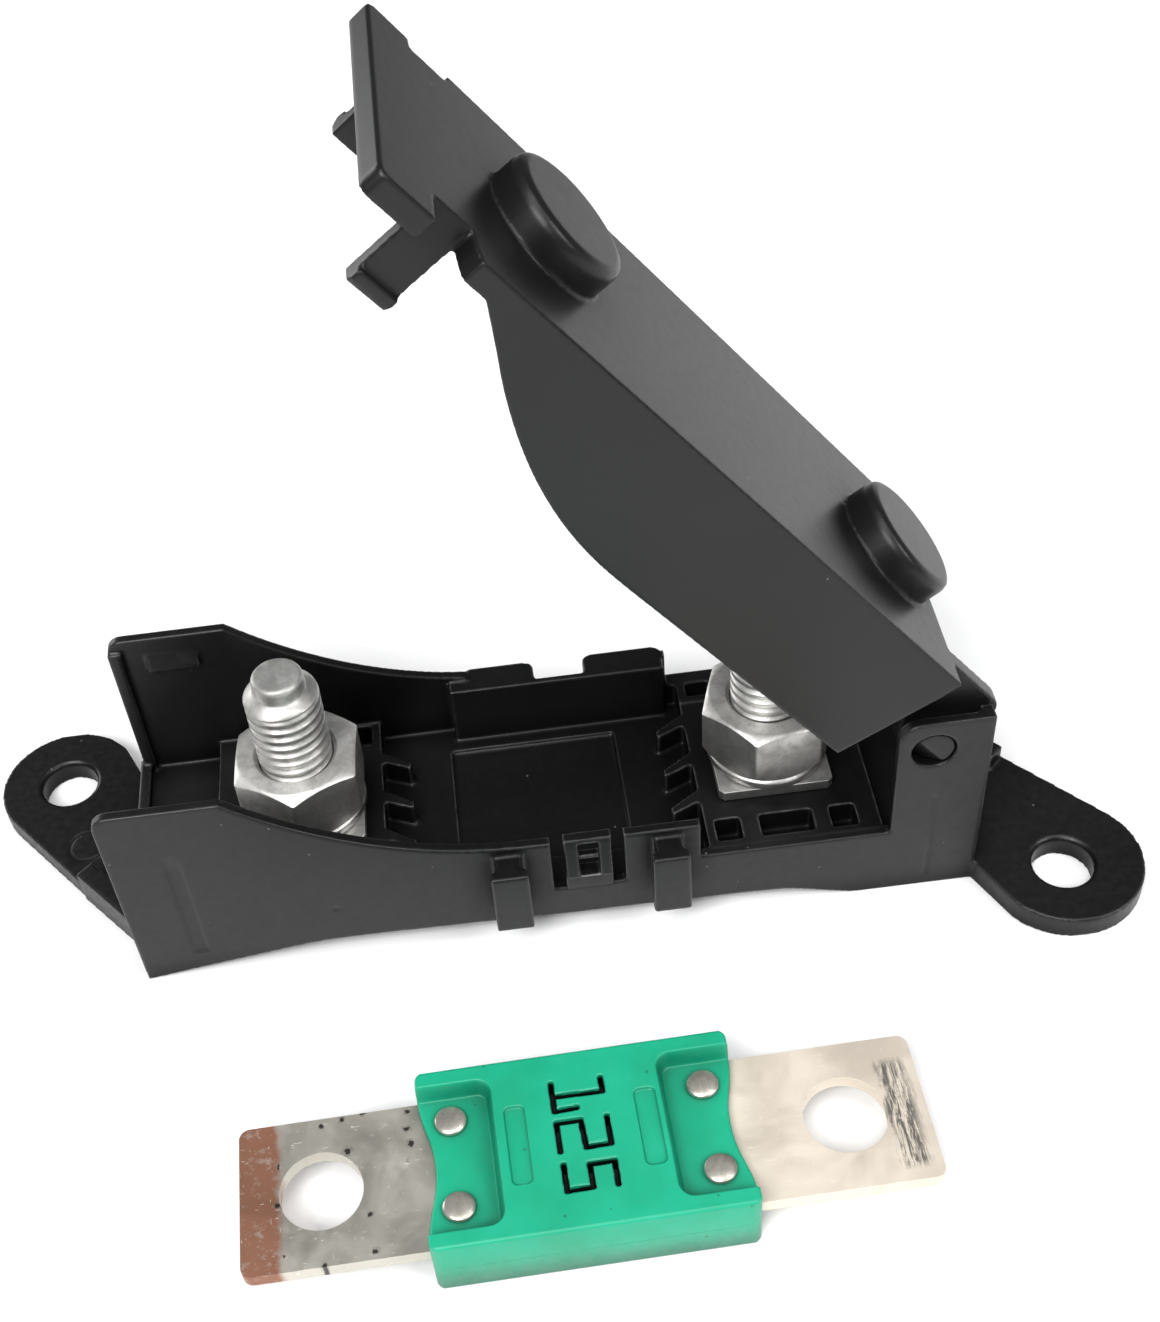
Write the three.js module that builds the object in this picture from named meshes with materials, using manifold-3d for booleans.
// Single bolt-down fuse holder with a hinged cover, and its blade-end strip fuse in front of it.
// Units are millimetres, +Z is up, +X (right) runs along the stud line towards the cover hinge,
// -Y is the front. The origin is midway between the two studs, on the mounting plane.

import * as THREE from 'three';
import { mergeVertices } from 'three/addons/utils/BufferGeometryUtils.js';
import Module from 'manifold-3d';

const wasm = await Module();
wasm.setup();

// ---------------------------------------------------------------- driving dimensions
// A pair such as [low, high] is a span along one axis.
const STUD_PITCH = 51;            // between the two studs, and between the two fuse holes
const STUD_X = STUD_PITCH / 2;
const STUD_R = 4.0;
const STUD_CLEARANCE = 0.12;      // radial, in the base and in the nut

const OUTER_Y = 13.3;             // outer face of each side wall
const WALL_T = 1.2;
const INNER_Y = OUTER_Y - WALL_T;
const BURIED_Y = INNER_Y + 0.2;   // where parts between the side walls end, inside the walls
const ACROSS = [-BURIED_Y, BURIED_Y];
const OPEN_X = -45;               // open end of the trough
const END_X = 46;                 // outer face of the end wall
const END_WALL_X = [END_X - 1.3, END_X];
const TALL_Z = 26.9;              // tall rim at the open end
const KNEE_X = -32;               // where the tall rim starts to fall
const RIM_Z = 14.6;               // mid rim
const RIM_STEP_X = 16.1;          // where the mid rim drops to the cable ledge
const LEDGE_Z = 9.5;              // cable ledge
const BACK_Y = 13.8;              // outer face of the thicker part of the back wall
const BACK_LEDGE_Z = 9.9;         // cable ledge of the back wall
const POST_X = 36.3;              // near edge of the hinge posts
const POST_Z = 25.8;              // top of the hinge posts
const POST_CORNER_R = 2.2;
const TALL_CORNER_R = 1.6;
const FLOOR_UNDER_Z = 5.0;        // underside of the floor slab
const FLOOR_Z = 6.8;              // top of the floor slab
const UNDERPART_Z = FLOOR_UNDER_Z + 0.3;  // top of parts under the floor, inside the slab
const PLATFORM_Z = 9.6;           // top of the stud platforms
const PLATFORM_X = [17.2, POST_X - 0.5];

const EAR_X = 55.3;               // ear hole centre
const EAR_Y = 14.8;
const EAR_R = 8.0;
const EAR_T = 2.8;
const EAR_HOLE_R = 3.25;          // for an M6 screw

const HINGE_X = 40.0;
const HINGE_Z = 21.8;
const BORE_R = 2.3;
const PIN_R = 2.22;
const OPEN_DEG = 52;              // cover angle at rest, counted from closed

const LID_TOP = 29.25;
const LID_T = 2.25;
const LID_BOTTOM = LID_TOP - LID_T;
const LID_Y = 13.9;
const LID_SKIRT_T = 1.2;
const LID_FREE_X = -45.4;
const LID_HINGE_X = 33.3;
const LID_CORNER_R = 1.1;
const SKIRT_GAP = 0.5;            // between the skirts and the base rim
const CAP_R = 6.5;
const CAP_TOP = LID_TOP + 3.35;

const TONGUE_X = [1.6, 6.7];
const TONGUE_SLOT_W = 1.3;
const TONGUE_Z = 7.0;
const RECESS_X = [1.05, 6.7];     // catch recess in the back wall
const COUPLING_XS = [-4.3, 12.6]; // front blocks and back sockets

const FUSE_POSITION = [-0.3, -43.6, 0];
const FUSE_TURN_DEG = 1.3;

const PAST = 1;                   // how far a cutter runs past an open face
const SIDES = [-1, 1];

const BLACK = { color: 0x26282a, roughness: 0.62, metalness: 0.0 };
const COVER_BLACK = { color: 0x2b2d2f, roughness: 0.6, metalness: 0.0 };
const zinc = (roughness) => ({ color: 0xb9b7b2, roughness, metalness: 1.0 });
const BLADE_METAL = { color: 0xbdb3a4, roughness: 0.35, metalness: 1.0 };
const TIN = { color: 0xa9a8a4, roughness: 0.5, metalness: 1.0 };
const RIVET_METAL = { color: 0xc4bfb4, roughness: 0.35, metalness: 1.0 };
const GREEN = { color: 0x1f9e78, roughness: 0.5, metalness: 0.0 };

// ---------------------------------------------------------------- helpers
const rad = THREE.MathUtils.degToRad;
const around = (centre, half) => [centre - half, centre + half];
// a span on the + side, or its mirror image on the - side
const onSide = (sign, near, far) => (sign > 0 ? [near, far] : [-far, -near]);
const middle = ([low, high]) => (low + high) / 2;
const toVectors = (points) => points.map((point) => new THREE.Vector2(...point));

function solid(geometry) {
  let bare = geometry.index ? geometry.toNonIndexed() : geometry.clone();
  bare.deleteAttribute('normal');
  bare.deleteAttribute('uv');
  bare = mergeVertices(bare, 1e-5);
  return new wasm.Manifold(new wasm.Mesh({
    numProp: 3,
    vertProperties: new Float32Array(bare.attributes.position.array),
    triVerts: new Uint32Array(bare.index.array),
  }));
}

function toGeometry(manifold) {
  const mesh = manifold.getMesh();
  const geometry = new THREE.BufferGeometry();
  const positions = new Float32Array(mesh.vertProperties);
  geometry.setAttribute('position', new THREE.BufferAttribute(positions, 3));
  geometry.setIndex(new THREE.BufferAttribute(new Uint32Array(mesh.triVerts), 1));
  return geometry;
}

const join = (parts) => parts.reduce((sum, part) => sum.add(part));
const cut = (body, cutters) => cutters.reduce((rest, cutter) => rest.subtract(cutter), body);
const mirrorX = (manifold) => manifold.mirror([1, 0, 0]);
const mirrorY = (manifold) => manifold.mirror([0, 1, 0]);
// a part modelled on the front side, moved to the given side
const toSide = (sign, manifold) => (sign < 0 ? manifold : mirrorY(manifold));

function box(spanX, spanY, spanZ) {
  const spans = [spanX, spanY, spanZ];
  return solid(new THREE.BoxGeometry(...spans.map(([low, high]) => high - low))
    .translate(...spans.map(middle)));
}

function extrude(shape, [low, high]) {
  return new THREE.ExtrudeGeometry(shape, {
    depth: high - low, bevelEnabled: false, curveSegments: 14,
  });
}

const shapePrism = (shape, spanZ) => solid(extrude(shape, spanZ).translate(0, 0, spanZ[0]));

// outline in plan (x, y)
const planPrism = (points, spanZ) => shapePrism(new THREE.Shape(toVectors(points)), spanZ);

// outline in side view (x, z)
function sidePrism(points, spanY) {
  return solid(extrude(new THREE.Shape(toVectors(points)), spanY)
    .rotateX(Math.PI / 2).translate(0, spanY[1], 0));
}

// outline in end view (y, z)
function endPrism(points, spanX) {
  return solid(extrude(new THREE.Shape(toVectors(points)), spanX)
    .rotateX(Math.PI / 2).rotateZ(Math.PI / 2).translate(spanX[0], 0, 0));
}

function coneZ(x, y, spanZ, lowRadius, highRadius, segments = 48) {
  const height = spanZ[1] - spanZ[0];
  return solid(new THREE.CylinderGeometry(highRadius, lowRadius, height, segments)
    .rotateX(Math.PI / 2).translate(x, y, middle(spanZ)));
}

const cylinderZ = (x, y, spanZ, radius, segments) =>
  coneZ(x, y, spanZ, radius, radius, segments);

function cylinderY(x, z, spanY, radius) {
  return solid(new THREE.CylinderGeometry(radius, radius, spanY[1] - spanY[0], 48)
    .translate(x, middle(spanY), z));
}

// profile of (radius, height) points, turned about Z
function turned(profile, segments) {
  return new THREE.LatheGeometry(toVectors(profile), segments).rotateX(Math.PI / 2);
}

function arcPoints(centreX, centreY, radius, startDeg, endDeg, steps) {
  const points = [];
  for (let i = 0; i <= steps; i++) {
    const angle = rad(startDeg + (endDeg - startDeg) * i / steps);
    points.push([centreX + radius * Math.cos(angle), centreY + radius * Math.sin(angle)]);
  }
  return points;
}

const splinePoints = (points) =>
  new THREE.SplineCurve(toVectors(points)).getPoints(22).map(({ x, y }) => [x, y]);

const group = new THREE.Group();

function addMesh(name, shape, material, parent = group) {
  const geometry = shape instanceof THREE.BufferGeometry ? shape : toGeometry(shape);
  const mesh = new THREE.Mesh(geometry, new THREE.MeshStandardMaterial(material));
  mesh.name = name;
  parent.add(mesh);
  return mesh;
}

function addGroup(x, y, z) {
  const child = new THREE.Group();
  child.position.set(x, y, z);
  group.add(child);
  return child;
}

// ---------------------------------------------------------------- base housing
// falling part of the rim (x, z), from the knee to the mid rim
const RIM_CURVE = splinePoints([
  [KNEE_X, TALL_Z], [-28.5, 24.1], [-24.65, 21.5], [-20, 18.95],
  [-15.15, 16.95], [-10, 15.5], [-5, 14.8], [0, RIM_Z],
]);

// lower edge of the side walls (x, z), open end to end wall
const WALL_FOOT = [
  [OPEN_X, 0], [-42.5, 0.42], [-40.3, 0.8], [-35.7, 1.52], [-31.2, 2.2], [-28.8, 2.58],
  [-26.7, 2.88], [-24.5, 3.06], [-22, 3.1], [-17.5, 3.03], [-7, 2.78], [1.7, 2.5],
  [10.5, 2.4], [21.4, 2.22], [24.2, 2.12], [25.8, 1.95], [28.05, 1.36], [30.3, 0.7],
  [32.6, 0.06], [33.2, 0], [END_X, 0],
];

const WALL_PROFILE = [
  ...WALL_FOOT,
  [END_X, POST_Z],
  ...arcPoints(POST_X + POST_CORNER_R, POST_Z - POST_CORNER_R, POST_CORNER_R, 90, 180, 6),
  [POST_X, LEDGE_Z], [RIM_STEP_X, LEDGE_Z], [RIM_STEP_X, RIM_Z],
  ...RIM_CURVE.slice().reverse(),
  ...arcPoints(OPEN_X + TALL_CORNER_R, TALL_Z - TALL_CORNER_R, TALL_CORNER_R, 90, 180, 5),
];

// the back wall leaves room for its thickened part
function makeSideWalls() {
  const wall = sidePrism(WALL_PROFILE, [-OUTER_Y, -INNER_Y]);
  const gap = box([-6.4, 16.0], [11, BACK_Y + PAST], [6.7, RIM_Z + 1.6]);
  return [wall, mirrorY(wall).subtract(gap)];
}

// floor slab, end wall with its low centre, returns and the lip of the open end
function makeFloorAndEnds() {
  const parts = [
    box([OPEN_X - 0.4, END_X - 0.2], ACROSS, [FLOOR_UNDER_Z, FLOOR_Z]),
    box(END_WALL_X, ACROSS, [0, 18.4]),
  ];
  for (const sign of SIDES) {
    const openReturnY = onSide(sign, INNER_Y - 0.6, BURIED_Y);
    parts.push(box(END_WALL_X, onSide(sign, 11.35, BURIED_Y), [18, POST_Z]));
    parts.push(box([OPEN_X, OPEN_X + 1.4], openReturnY, [FLOOR_Z - 0.5, TALL_Z - 1.4]));
  }
  parts.push(box([OPEN_X - 0.4, OPEN_X + 0.9], ACROSS, [0, 7.9]));
  return parts;
}

// ribs inside the side walls that catch the cover legs
function makeCatchRibs() {
  const profile = [   // distance from the centre plane, z
    [BURIED_Y, 22.5], [INNER_Y - 0.8, 22.5], [INNER_Y - 0.8, 22.9],
    [INNER_Y - 0.05, 24.5], [BURIED_Y, 24.5],
  ];
  return SIDES.map((sign) => endPrism(profile.map(([y, z]) => [sign * y, z]), [-41, -35.4]));
}

// tooth on the inner edge of the right platform: x, y from the tooth's own row
const TOOTH = [
  [17.4, 1.2], [17.4, 3.0], [16.9, 2.85], [14.0, 0.9], [13.85, 0.35], [14.1, -0.1], [16.7, 1.1],
];
const TOOTH_ROWS = [4.4, -1.5, -7.0];
const POCKET_XS = [[18.2, 21.0], [23.0, 28.7], [30.6, 33.4]];

// stud platform with a saw-toothed inner edge, two rows of pockets in its top,
// and a collar under the floor that holds the square bolt head
function makePlatform(sign) {
  const isRight = sign > 0;
  const teeth = TOOTH_ROWS.map((row) =>
    planPrism(TOOTH.map(([x, y]) => [x, row + y]), [FLOOR_Z - 0.3, PLATFORM_Z]));
  let platform = join([box(PLATFORM_X, ACROSS, [FLOOR_UNDER_Z, PLATFORM_Z]), ...teeth]);
  if (isRight) {
    const ledge = box(PLATFORM_X, [9.0, BURIED_Y], [FLOOR_UNDER_Z, BACK_LEDGE_Z]);
    platform = platform.add(ledge);
  }
  const pocketYs = [[-11.5, -8.6], isRight ? [9.9, 12.7] : [8.6, 11.5]];
  platform = cut(platform, pocketYs.flatMap((spanY) =>
    POCKET_XS.map((spanX) => box(spanX, spanY, [FLOOR_Z, PLATFORM_Z + PAST]))));
  platform = platform.add(box(around(STUD_X, 8), around(0, 8), [1.0, UNDERPART_Z]));
  return isRight ? platform : mirrorX(platform);
}

// centre foot, cross ribs and end ribs under the floor
function makeUnderfloorRibs() {
  const crossRibs = [-14, -4.7, 4.7, 14].map((x) =>
    box(around(x, 0.6), ACROSS, [3.4, UNDERPART_Z]));
  const endRibs = SIDES.map((sign) =>
    box(onSide(sign, 33.3, END_X - 1), around(0, 0.6), [1.0, UNDERPART_Z]));
  return [box(around(0, 17.6), around(0, 1.6), [0, UNDERPART_Z]), ...crossRibs, ...endRibs];
}

// thickened back wall that holds the coupling sockets, and the ledge that carries on from it
function makeBackThickening() {
  const innerEdge = [[-8.6, 10.25], [15.7, 10.25]];
  const leftEnd = [[-6.2, BACK_Y], [-8.0, 12.95], [-8.6, 11.9]];
  const cornerR = 0.9;
  const corner = (x, startDeg) =>
    arcPoints(x, BACK_Y - cornerR, cornerR, startDeg, startDeg + 90, 5);
  const upper = [
    ...innerEdge, ...corner(14.8, 0), ...corner(7.6, 90),
    [RECESS_X[1], 11.1], [RECESS_X[0], 11.1], ...corner(0.15, 0), ...leftEnd,
  ];
  return [
    planPrism([...innerEdge, [15.7, BACK_Y], ...leftEnd], [2.6, 6.8]),
    planPrism(upper, [6.7, RIM_Z]),
    box([15.5, POST_X + 0.2], [INNER_Y - 0.2, BACK_Y], [2.6, BACK_LEDGE_Z]),
  ];
}

// coupling block on the front wall: a wide head on a narrower neck
function makeCouplingBlock(x) {
  const head = [
    [x - 1.9, -16.5], [x + 1.9, -16.5], [x + 2.0, -16.3],
    [x + 2.0, -15.3], [x - 2.0, -15.3], [x - 2.0, -16.3],
  ];
  return [
    planPrism(head, [5.0, 13.7]),
    box(around(x, 1.4), [-15.4, -OUTER_Y + 0.2], [5.4, 13.7]),
  ];
}

// Mounting ears with their root gussets. Both are drawn at the right;
// the left one is turned half a turn about the origin.
function makeEars() {
  const makeEar = (centreX, centreY, radius) => planPrism([
    [END_X - 1.2, 8.6], [END_X + 0.3, 8.6],
    ...arcPoints(centreX, centreY, radius, 42, -146, 26),
    [END_X - 0.2, -13.2], [END_X - 1.2, -13.2],
  ], [0, EAR_T]);
  const gusset = planPrism([
    [END_X - 0.2, 8.6], [END_X + 0.3, 8.6], [52.9, 0.9],
    [51.2, -0.6], [49.6, 1.2], [END_X - 0.2, 5.2],
  ], [0, 4.7]);
  // the right ear is slightly larger
  const right = makeEar(EAR_X + 0.35, -EAR_Y + 0.4, EAR_R + 0.4);
  const left = makeEar(EAR_X, -EAR_Y, EAR_R).add(gusset).rotate([0, 0, 180]);
  return [right, gusset, left];
}

// cutters that come once on each side
function makePairedCutters(sign) {
  const earX = sign * EAR_X;
  const earY = -sign * EAR_Y;
  const edgeBreakZ = [EAR_T - 0.35, EAR_T + 0.05];
  const studX = sign * STUD_X;
  const headPocketHalf = HEAD_HALF + 0.2;
  const studHoleZ = [FLOOR_UNDER_Z - PAST, PLATFORM_Z + PAST];
  return [
    cylinderY(HINGE_X, HINGE_Z, onSide(sign, INNER_Y - PAST, OUTER_Y + PAST), BORE_R),
    cylinderZ(earX, earY, [-PAST, EAR_T + PAST], EAR_HOLE_R),
    coneZ(earX, earY, edgeBreakZ, EAR_HOLE_R, EAR_HOLE_R + 0.4),
    box(around(studX, headPocketHalf), around(0, headPocketHalf), [0, FLOOR_UNDER_Z + 0.35]),
    cylinderZ(studX, 0, studHoleZ, STUD_R + STUD_CLEARANCE),
  ];
}

// tee socket in the back wall, open outwards and downwards
function makeSocketCutters(x) {
  const spanZ = [1, 13.2];
  return [
    box(around(x, 2.25), [11.2, 12.75], spanZ),
    box(around(x, 1.7), [12.65, BACK_Y + PAST], spanZ),
  ];
}

function makeBase() {
  const parts = [
    ...makeSideWalls(),
    ...makeFloorAndEnds(),
    ...makeCatchRibs(),
    ...SIDES.map(makePlatform),
    ...makeUnderfloorRibs(),
    ...makeBackThickening(),
    ...COUPLING_XS.flatMap(makeCouplingBlock),
    ...makeEars(),
  ];
  const tongueWindow = box(
    [TONGUE_X[0] - TONGUE_SLOT_W, TONGUE_X[1] + TONGUE_SLOT_W],
    [-OUTER_Y - PAST, -INNER_Y + 0.05],
    [TONGUE_Z, RIM_Z + PAST],
  );
  const floorRecess = box(around(0, 9.4), around(0, 8.6), [FLOOR_Z - 0.4, FLOOR_Z + PAST]);
  const catchRecess = box(RECESS_X, [11.1, BACK_Y + PAST], [6.8, RIM_Z + PAST]);
  const body = cut(join(parts), [
    tongueWindow,
    ...SIDES.flatMap(makePairedCutters),
    floorRecess,
    ...COUPLING_XS.flatMap(makeSocketCutters),
    catchRecess,
  ]);
  // catch bar across the recess, for the tongue of a neighbouring holder
  return body.add(box([RECESS_X[0] - 0.2, RECESS_X[1] + 0.2], [11.3, 12.1], [11.8, 13.0]));
}

// ---------------------------------------------------------------- snap tongue of the front wall
function makeTongue() {
  const tongue = box(TONGUE_X, [-OUTER_Y, -INNER_Y], [TONGUE_Z + 0.1, RIM_Z + 0.1]);
  // ramp that grows outwards on the way down, with a square catch face under it
  const ramp = endPrism([
    [-OUTER_Y + 0.1, 14.3], [-OUTER_Y - 0.05, 14.3], [-OUTER_Y - 0.75, 9.6],
    [-OUTER_Y - 0.7, 9.35], [-OUTER_Y + 0.1, 9.35],
  ], [TONGUE_X[0] + 0.1, TONGUE_X[1] - 0.1]);
  const opening = box([3.1, 5.3], [-OUTER_Y - 2, -INNER_Y + PAST], [9.5, 14.1]);
  const crossbar = box([3.0, 5.4], [-OUTER_Y + 0.1, -INNER_Y - 0.2], [11.5, 12.0]);
  return tongue.add(ramp).subtract(opening).add(crossbar);
}

// ---------------------------------------------------------------- cover, modelled closed
// top plate with a notch in each long edge above the hooked legs
function makeLidPlate() {
  const cornerX = LID_FREE_X + LID_CORNER_R;
  const cornerY = LID_Y - LID_CORNER_R;
  return planPrism([
    ...arcPoints(cornerX, -cornerY, LID_CORNER_R, 180, 270, 4),
    [-39.5, -LID_Y], [-39.5, -10.3], [-35.1, -10.3], [-35.0, -12.4], [-34.4, -LID_Y],
    [LID_HINGE_X, -LID_Y], [LID_HINGE_X, LID_Y],
    [-35.7, LID_Y], [-36.2, 12.6], [-40.3, 12.4], [-40.4, LID_Y],
    ...arcPoints(cornerX, cornerY, LID_CORNER_R, 90, 180, 4),
  ], [LID_BOTTOM, LID_TOP]);
}

// side skirts that follow the base rim
function makeSkirts() {
  const lowerEdge = splinePoints([
    [KNEE_X, LID_BOTTOM + 0.1], [-28.0, 24.45], [-24.3, 21.95], [-19.7, 19.4],
    [-15.0, 17.4], [-9.9, 15.95], [-5, 15.25], [0, RIM_Z + SKIRT_GAP],
  ]);
  const skirt = sidePrism([
    ...lowerEdge, [32.1, RIM_Z + SKIRT_GAP], [LID_HINGE_X, LID_BOTTOM + 0.2],
    [LID_HINGE_X, LID_TOP - 0.3], [KNEE_X, LID_TOP - 0.3],
  ], [-LID_Y, -LID_Y + LID_SKIRT_T]);
  return [skirt, mirrorY(skirt)];
}

// stiffening webs across the underside, at mid length and at the hinge end
function makeLidWebs() {
  const spanY = around(0, LID_Y - 0.5);
  return [
    box(around(0, 0.6), spanY, [24.6, LID_BOTTOM + 0.2]),
    box([LID_HINGE_X - 1.2, LID_HINGE_X], spanY, [25.4, LID_BOTTOM + 0.2]),
  ];
}

// round cap that gives a stud tip room
function makeCap(sign) {
  return solid(turned([
    [0, LID_BOTTOM + 0.3], [CAP_R, LID_BOTTOM + 0.3], [CAP_R, CAP_TOP - 0.9],
    [CAP_R - 0.26, CAP_TOP - 0.27], [CAP_R - 0.9, CAP_TOP], [0, CAP_TOP],
  ], 56).translate(sign * STUD_X, 0, 0));
}

function makeCapCutters(sign) {
  const boreR = CAP_R - 1.1;
  const mouthZ = [LID_BOTTOM - 0.01, LID_BOTTOM + 0.8];
  return [
    cylinderZ(sign * STUD_X, 0, [20, CAP_TOP - 1.05], boreR),
    coneZ(sign * STUD_X, 0, mouthZ, CAP_R - 0.5, boreR),
  ];
}

// hooked leg at the free end
function makeLeg(sign) {
  const [low, high] = sign < 0 ? [-39.4, -35.2] : [-41.0, -36.4];
  const foot = sign < 0 ? 19.4 : 20.2;
  const shank = box([low, high], [-10.4, -8.9], [foot, LID_TOP - 0.6]);
  const hook = endPrism([
    [-10.1, foot + 1.9], [-11.1, foot + 1.6], [-11.1, foot + 0.7], [-10.5, foot], [-10.1, foot],
  ], [low, high]);
  return toSide(sign, shank.add(hook));
}

// hinge arm and pin; the pin end is cut back on the underside as a lead-in
function makeHingeArm(sign) {
  const shoulderX = 42.2;
  const shoulderR = 1.2;
  const shoulderZ = LID_TOP - shoulderR;
  const arm = sidePrism([
    [30.2, LID_BOTTOM + 0.3], [37.3, 19.85],
    ...arcPoints(HINGE_X, HINGE_Z, 3.3, 218, 350, 12),
    [42.4, 23.2], [shoulderX, shoulderZ],
    ...arcPoints(shoulderX - shoulderR, shoulderZ, shoulderR, 0, 90, 4), [30.2, LID_TOP],
  ], [-11.0, -8.8]);
  const leadIn = endPrism([
    [-13.3, HINGE_Z + 0.05], [-11.4, HINGE_Z - 2.6], [-13.3, HINGE_Z - 2.6],
  ], around(HINGE_X, 3));
  const pin = cylinderY(HINGE_X, HINGE_Z, [-13.1, -10.9], PIN_R).subtract(leadIn);
  return toSide(sign, arm.add(pin));
}

function makeCover() {
  const body = join([
    makeLidPlate(),
    ...makeSkirts(),
    ...makeLidWebs(),
    ...SIDES.map(makeCap),
    ...SIDES.map(makeLeg),
    ...SIDES.map(makeHingeArm),
  ]);
  return cut(body, SIDES.flatMap(makeCapCutters));
}

// the pivot group swings the cover open about the hinge line
function addCover() {
  const pivot = addGroup(HINGE_X, 0, HINGE_Z);
  pivot.rotation.y = rad(OPEN_DEG);
  addMesh('cover', makeCover().translate([-HINGE_X, 0, -HINGE_Z]), COVER_BLACK, pivot);
}

// ---------------------------------------------------------------- studs, plates, washers, nuts
const STACK_GAP = 0.03;           // between plate, washer and nut
const STUD_TIP = 31.0;
const HEAD_HALF = 5.95;           // half width of the square bolt head
const PLATE_HALF = 6.2;
const PLATE_CHAMFER = 0.5;
const PLATE_Z = PLATFORM_Z + 0.05;
const PLATE_TOP = PLATE_Z + 1.3;
const WASHER_R = 6.6;
const WASHER_T = 1.2;
const WASHER_Z = PLATE_TOP + STACK_GAP;
const NUT_FLATS = 13;             // across flats
const NUT_H = 7.2;
const NUT_Z = WASHER_Z + WASHER_T + STACK_GAP;

function makeStud() {
  const shaft = solid(turned([
    [0, 4.6], [STUD_R, 4.6], [STUD_R, STUD_TIP - 2.85], [2.78, STUD_TIP - 1.85],
    [2.74, STUD_TIP - 0.35], [2.4, STUD_TIP], [0, STUD_TIP],
  ], 48));
  return shaft.add(box(around(0, HEAD_HALF), around(0, HEAD_HALF), [1.5, 4.9]));
}

function makeContactPlate() {
  const half = PLATE_HALF;
  const flat = half - PLATE_CHAMFER;
  const shape = new THREE.Shape(toVectors([
    [-flat, -half], [flat, -half], [half, -flat], [half, flat],
    [flat, half], [-flat, half], [-half, flat], [-half, -flat],
  ]));
  const hole = new THREE.Path();
  hole.absarc(0, 0, STUD_R + 0.15, 0, Math.PI * 2, true);
  shape.holes.push(hole);
  return shapePrism(shape, [PLATE_Z, PLATE_TOP]);
}

function makeWasher() {
  const holeR = STUD_R + 0.25;
  return turned([
    [holeR, 0], [WASHER_R - 0.15, 0], [WASHER_R, 0.15], [WASHER_R, WASHER_T - 0.3],
    [WASHER_R - 0.3, WASHER_T], [holeR, WASHER_T], [holeR, 0],
  ], 64);
}

function makeNut() {
  const cornerR = NUT_FLATS / 2 / Math.cos(Math.PI / 6);
  const holeR = STUD_R + STUD_CLEARANCE;
  const mouthR = STUD_R + 0.55;
  const hexagon = arcPoints(0, 0, cornerR, 0, 300, 5);
  const cornerBreak = solid(turned([
    [0, 0], [6.3, 0], [cornerR + 0.1, 1.5], [cornerR + 0.1, NUT_H - 0.75],
    [6.25, NUT_H], [0, NUT_H],
  ], 60));
  return cut(planPrism(hexagon, [0, NUT_H]).intersect(cornerBreak), [
    cylinderZ(0, 0, [-PAST, NUT_H + PAST], holeR),
    coneZ(0, 0, [NUT_H - 0.5, NUT_H + 0.01], holeR, mouthR),
    coneZ(0, 0, [-0.01, 0.5], mouthR, holeR),
  ]);
}

function addStudStack(label, sign, nutTurnDeg) {
  const stack = addGroup(sign * STUD_X, 0, 0);
  addMesh(`${label}_stud_bolt`, makeStud(), zinc(0.38), stack);
  addMesh(`${label}_contact_plate`, makeContactPlate(), zinc(0.42), stack);
  addMesh(`${label}_washer`, makeWasher(), zinc(0.4), stack).position.z = WASHER_Z;
  const nut = addMesh(`${label}_hex_nut`, makeNut(), zinc(0.4), stack);
  nut.position.z = NUT_Z;
  nut.rotation.z = rad(nutTurnDeg);
}

// ---------------------------------------------------------------- strip fuse
const BLADE_T = 1.6;
const BLADE_W = 15.7;
const BLADE_L = 66.8;
const FUSE_HOLE_R = 4.1;
const BODY_L = 31.0;
const BODY_W = 19.0;
const HALF_T = 3.95;                   // thickness of each housing half
const BODY_GAP = 0.06;                 // between the halves
const MID_Z = HALF_T + BODY_GAP / 2;   // middle of the blade thickness
const RIVET_X = 12.4;
const RIVET_Y = 4.6;
const RECESS_D = 1.9;                  // depth of the end recesses around the rivets

const makeRivetHoles = () => SIDES.flatMap((signX) => SIDES.map((signY) =>
  cylinderZ(signX * RIVET_X, signY * RIVET_Y, [-PAST, 10], 1.32, 24)));

// two blades joined by a narrow folded link
function makeElement() {
  const halfW = BLADE_W / 2;
  const halfL = BLADE_L / 2;
  const cornerR = 1.1;
  const flatX = halfL - cornerR;
  const flatY = halfW - cornerR;
  const inner = 7.2;   // inner end of each blade
  const frontEdge = [
    [-inner, -halfW], [-inner, -1.6], [-3.2, -1.6], [-3.2, -5.2], [2.2, -5.2], [2.2, -1.6],
    [inner, -1.6], [inner, -halfW], [flatX, -halfW],
  ];
  const backEdge = [
    [inner, halfW], [inner, 0.4], [0.4, 0.4], [0.4, -3.4], [-1.4, -3.4], [-1.4, 0.4],
    [-inner, 0.4], [-inner, halfW], [-flatX, halfW],
  ];
  const shape = new THREE.Shape();
  const trace = (points) => points.forEach(([x, y]) => shape.lineTo(x, y));
  const roundCorner = (x, y, start) =>
    shape.absarc(x, y, cornerR, start, start + Math.PI / 2, false);
  shape.moveTo(-flatX, -halfW);
  trace(frontEdge);
  roundCorner(flatX, -flatY, -Math.PI / 2);
  trace([[halfL, flatY]]);
  roundCorner(flatX, flatY, 0);
  trace(backEdge);
  roundCorner(-flatX, flatY, Math.PI / 2);
  trace([[-halfL, -flatY]]);
  roundCorner(-flatX, -flatY, Math.PI);
  return cut(shapePrism(shape, around(MID_Z, BLADE_T / 2)), [
    ...SIDES.map((sign) => cylinderZ(sign * STUD_X, 0, [0, 10], FUSE_HOLE_R)),
    ...makeRivetHoles(),
  ]);
}

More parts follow.
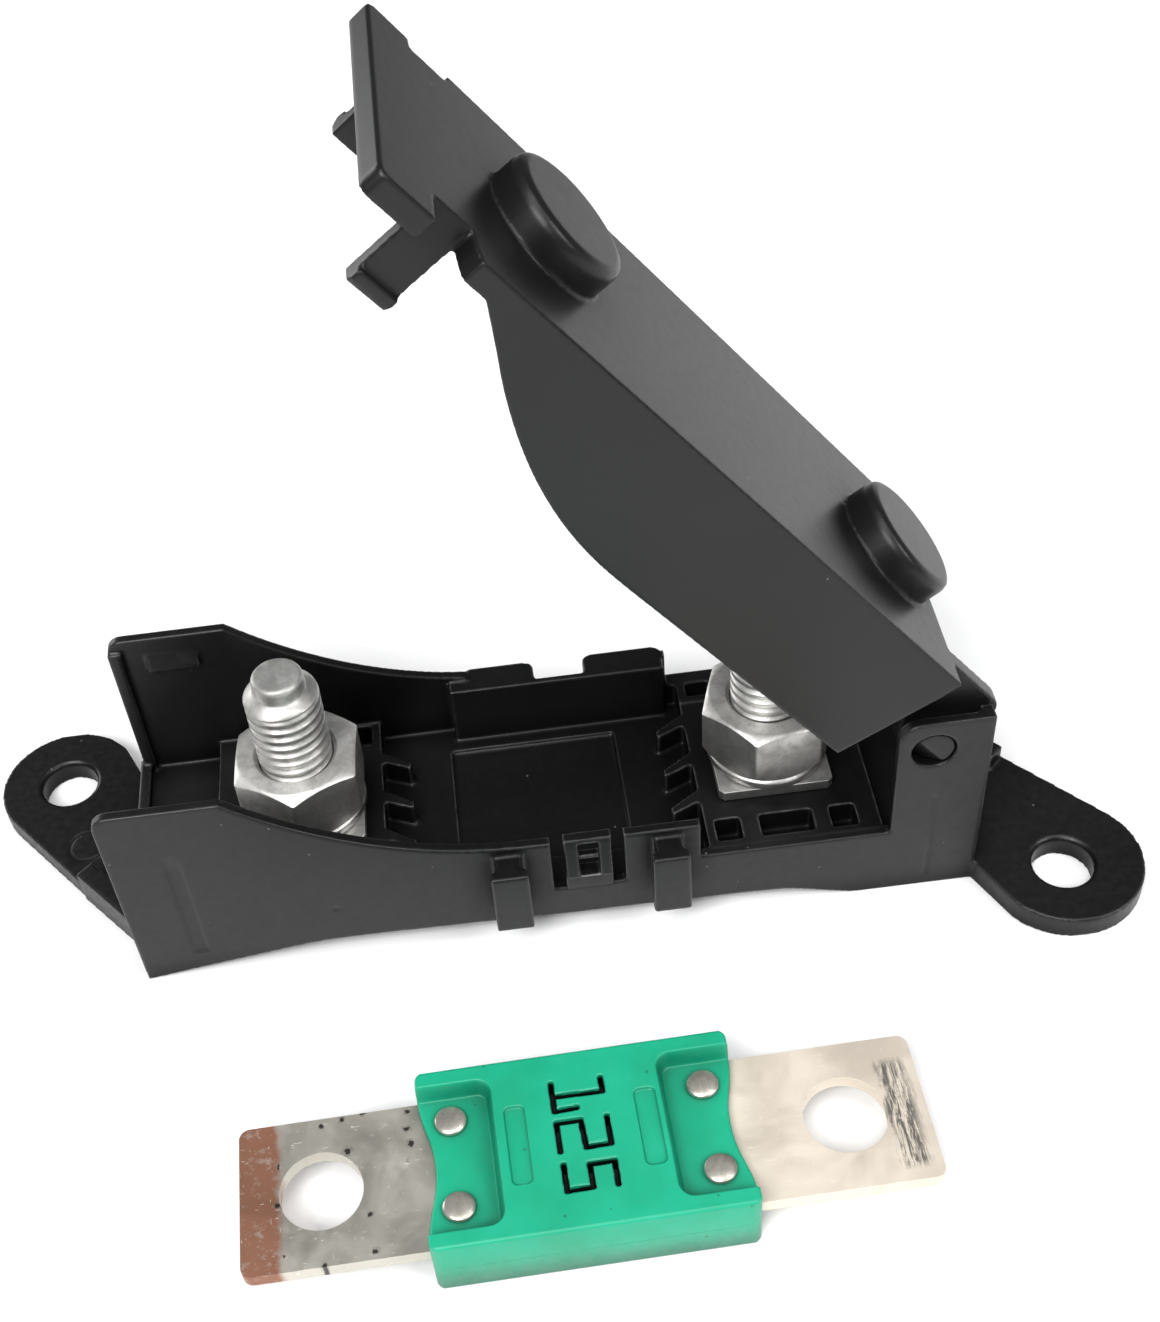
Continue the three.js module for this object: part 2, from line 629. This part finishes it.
// inward bow of the housing ends between the corner rails: x from the end face, y
const END_BOW = [
  [0.0, -7.2], [-0.25, -6.2], [-0.75, -4.6], [-1.25, -2.6], [-1.4, 0],
  [-1.25, 2.6], [-0.75, 4.6], [-0.25, 6.2], [0.0, 7.2],
];

function housingOutline() {
  const halfL = BODY_L / 2;
  const halfW = BODY_W / 2;
  const chamfer = 0.7;
  const flatX = halfL - chamfer;
  const flatY = halfW - chamfer;
  return [
    [-flatX, -halfW], [flatX, -halfW], [halfL, -flatY], [halfL, -halfW + 2.2],
    ...END_BOW.map(([x, y]) => [halfL + x, y]),
    [halfL, flatY], [flatX, halfW], [-flatX, halfW], [-halfL, flatY],
    ...END_BOW.slice().reverse().map(([x, y]) => [-halfL - x, y]),
    [-halfL, -flatY],
  ];
}

// one half of the fuse housing, with its split face down at z = 0 and its outer face up
function makeHalf() {
  const channelY = around(0, BLADE_W / 2 + 0.12);
  return cut(planPrism(housingOutline(), [0, HALF_T]), [
    // channel for the blades, and the arc chamber around the link
    box(around(0, BODY_L), channelY, [-PAST, BLADE_T / 2 + 0.06]),
    box(around(0, 7.4), around(0, 6.4), [0, 2.3]),
    // end recesses around the rivets
    ...SIDES.map((sign) =>
      box(onSide(sign, 8.4, 20), around(0, 7.5), [HALF_T - RECESS_D, HALF_T + PAST])),
    ...makeRivetHoles(),
  ]);
}

// Rating figures 1, 2 and 5, upright along +X and read towards -Y.
const FOOT = -2.28;
const WAIST = 0.15;
const TOP = 2.6;
const STROKE_W = 0.5;
const STROKES = [   // centre line of each stroke: x span, y span
  [[FOOT, FOOT], [3.05, 6.1]], [[FOOT, -0.1], [3.05, 3.05]],
  [[FOOT, TOP], [4.65, 4.65]], [[TOP, TOP], [4.65, 6.05]],

  [[FOOT, FOOT], [-1.3, 1.75]], [[FOOT, WAIST], [1.75, 1.75]], [[WAIST, WAIST], [-1.2, 1.75]],
  [[WAIST, TOP], [-1.2, -1.2]], [[TOP, TOP], [-1.2, 1.75]],

  [[FOOT, FOOT], [-5.45, -2.75]], [[FOOT, WAIST], [-5.45, -5.45]],
  [[WAIST, WAIST], [-5.45, -3.0]], [[WAIST, TOP], [-3.0, -3.0]], [[TOP, TOP], [-5.45, -3.0]],
];

// shallow label recesses either side of the figures, which are cut through into the chamber
function makeUpperHalf() {
  const labelZ = [HALF_T - 0.3, HALF_T + PAST];
  const strokeZ = [HALF_T - 2.5, HALF_T + PAST];
  const widen = ([low, high]) => [low - STROKE_W / 2, high + STROKE_W / 2];
  return cut(makeHalf(), [
    box([-7.1, -5.2], [-4.1, 4.2], labelZ),
    box([5.5, 7.6], [-4.0, 4.2], labelZ),
    ...STROKES.map(([spanX, spanY]) => box(widen(spanX), widen(spanY), strokeZ)),
  ]);
}

// pellet of tin pressed on the middle of the link
const makePellet = () => turned([[0, 0], [0.85, 0], [0.85, 0.28], [0.6, 0.45], [0, 0.5]], 24);

function makeRivet() {
  const low = RECESS_D;                // seats of the two heads
  const high = 2 * MID_Z - RECESS_D;
  const head = [[1.24, 0.06], [1.62, 0.06], [1.5, 0.4], [1.1, 0.6], [0, 0.62]];
  return turned([
    ...head.map(([radius, height]) => [radius, low - height]).reverse(),
    ...head.map(([radius, height]) => [radius, high + height]),
  ], 28);
}

function addFuse() {
  const fuse = addGroup(...FUSE_POSITION);
  fuse.rotation.z = rad(FUSE_TURN_DEG);
  addMesh('fuse_element', makeElement(), BLADE_METAL, fuse);
  addMesh('fuse_tin_overlay', makePellet(), TIN, fuse)
    .position.set(-0.5, -4.3, MID_Z + BLADE_T / 2 + 0.02);
  addMesh('fuse_upper_housing', makeUpperHalf(), GREEN, fuse).position.z = MID_Z + BODY_GAP / 2;
  const lower = addMesh('fuse_lower_housing', makeHalf(), GREEN, fuse);
  lower.position.z = MID_Z - BODY_GAP / 2;
  lower.rotation.x = Math.PI;
  for (const [end, x] of [['left', -RIVET_X], ['right', RIVET_X]]) {
    for (const [row, y] of [['front', -RIVET_Y], ['back', RIVET_Y]]) {
      addMesh(`fuse_rivet_${end}_${row}`, makeRivet(), RIVET_METAL, fuse).position.set(x, y, 0);
    }
  }
}

// ---------------------------------------------------------------- assembly
addMesh('base_housing', makeBase(), BLACK);
addMesh('front_latch_tongue', makeTongue(), BLACK);
addCover();
addStudStack('left', -1, -93);
addStudStack('right', 1, -109);
addFuse();

export default group;
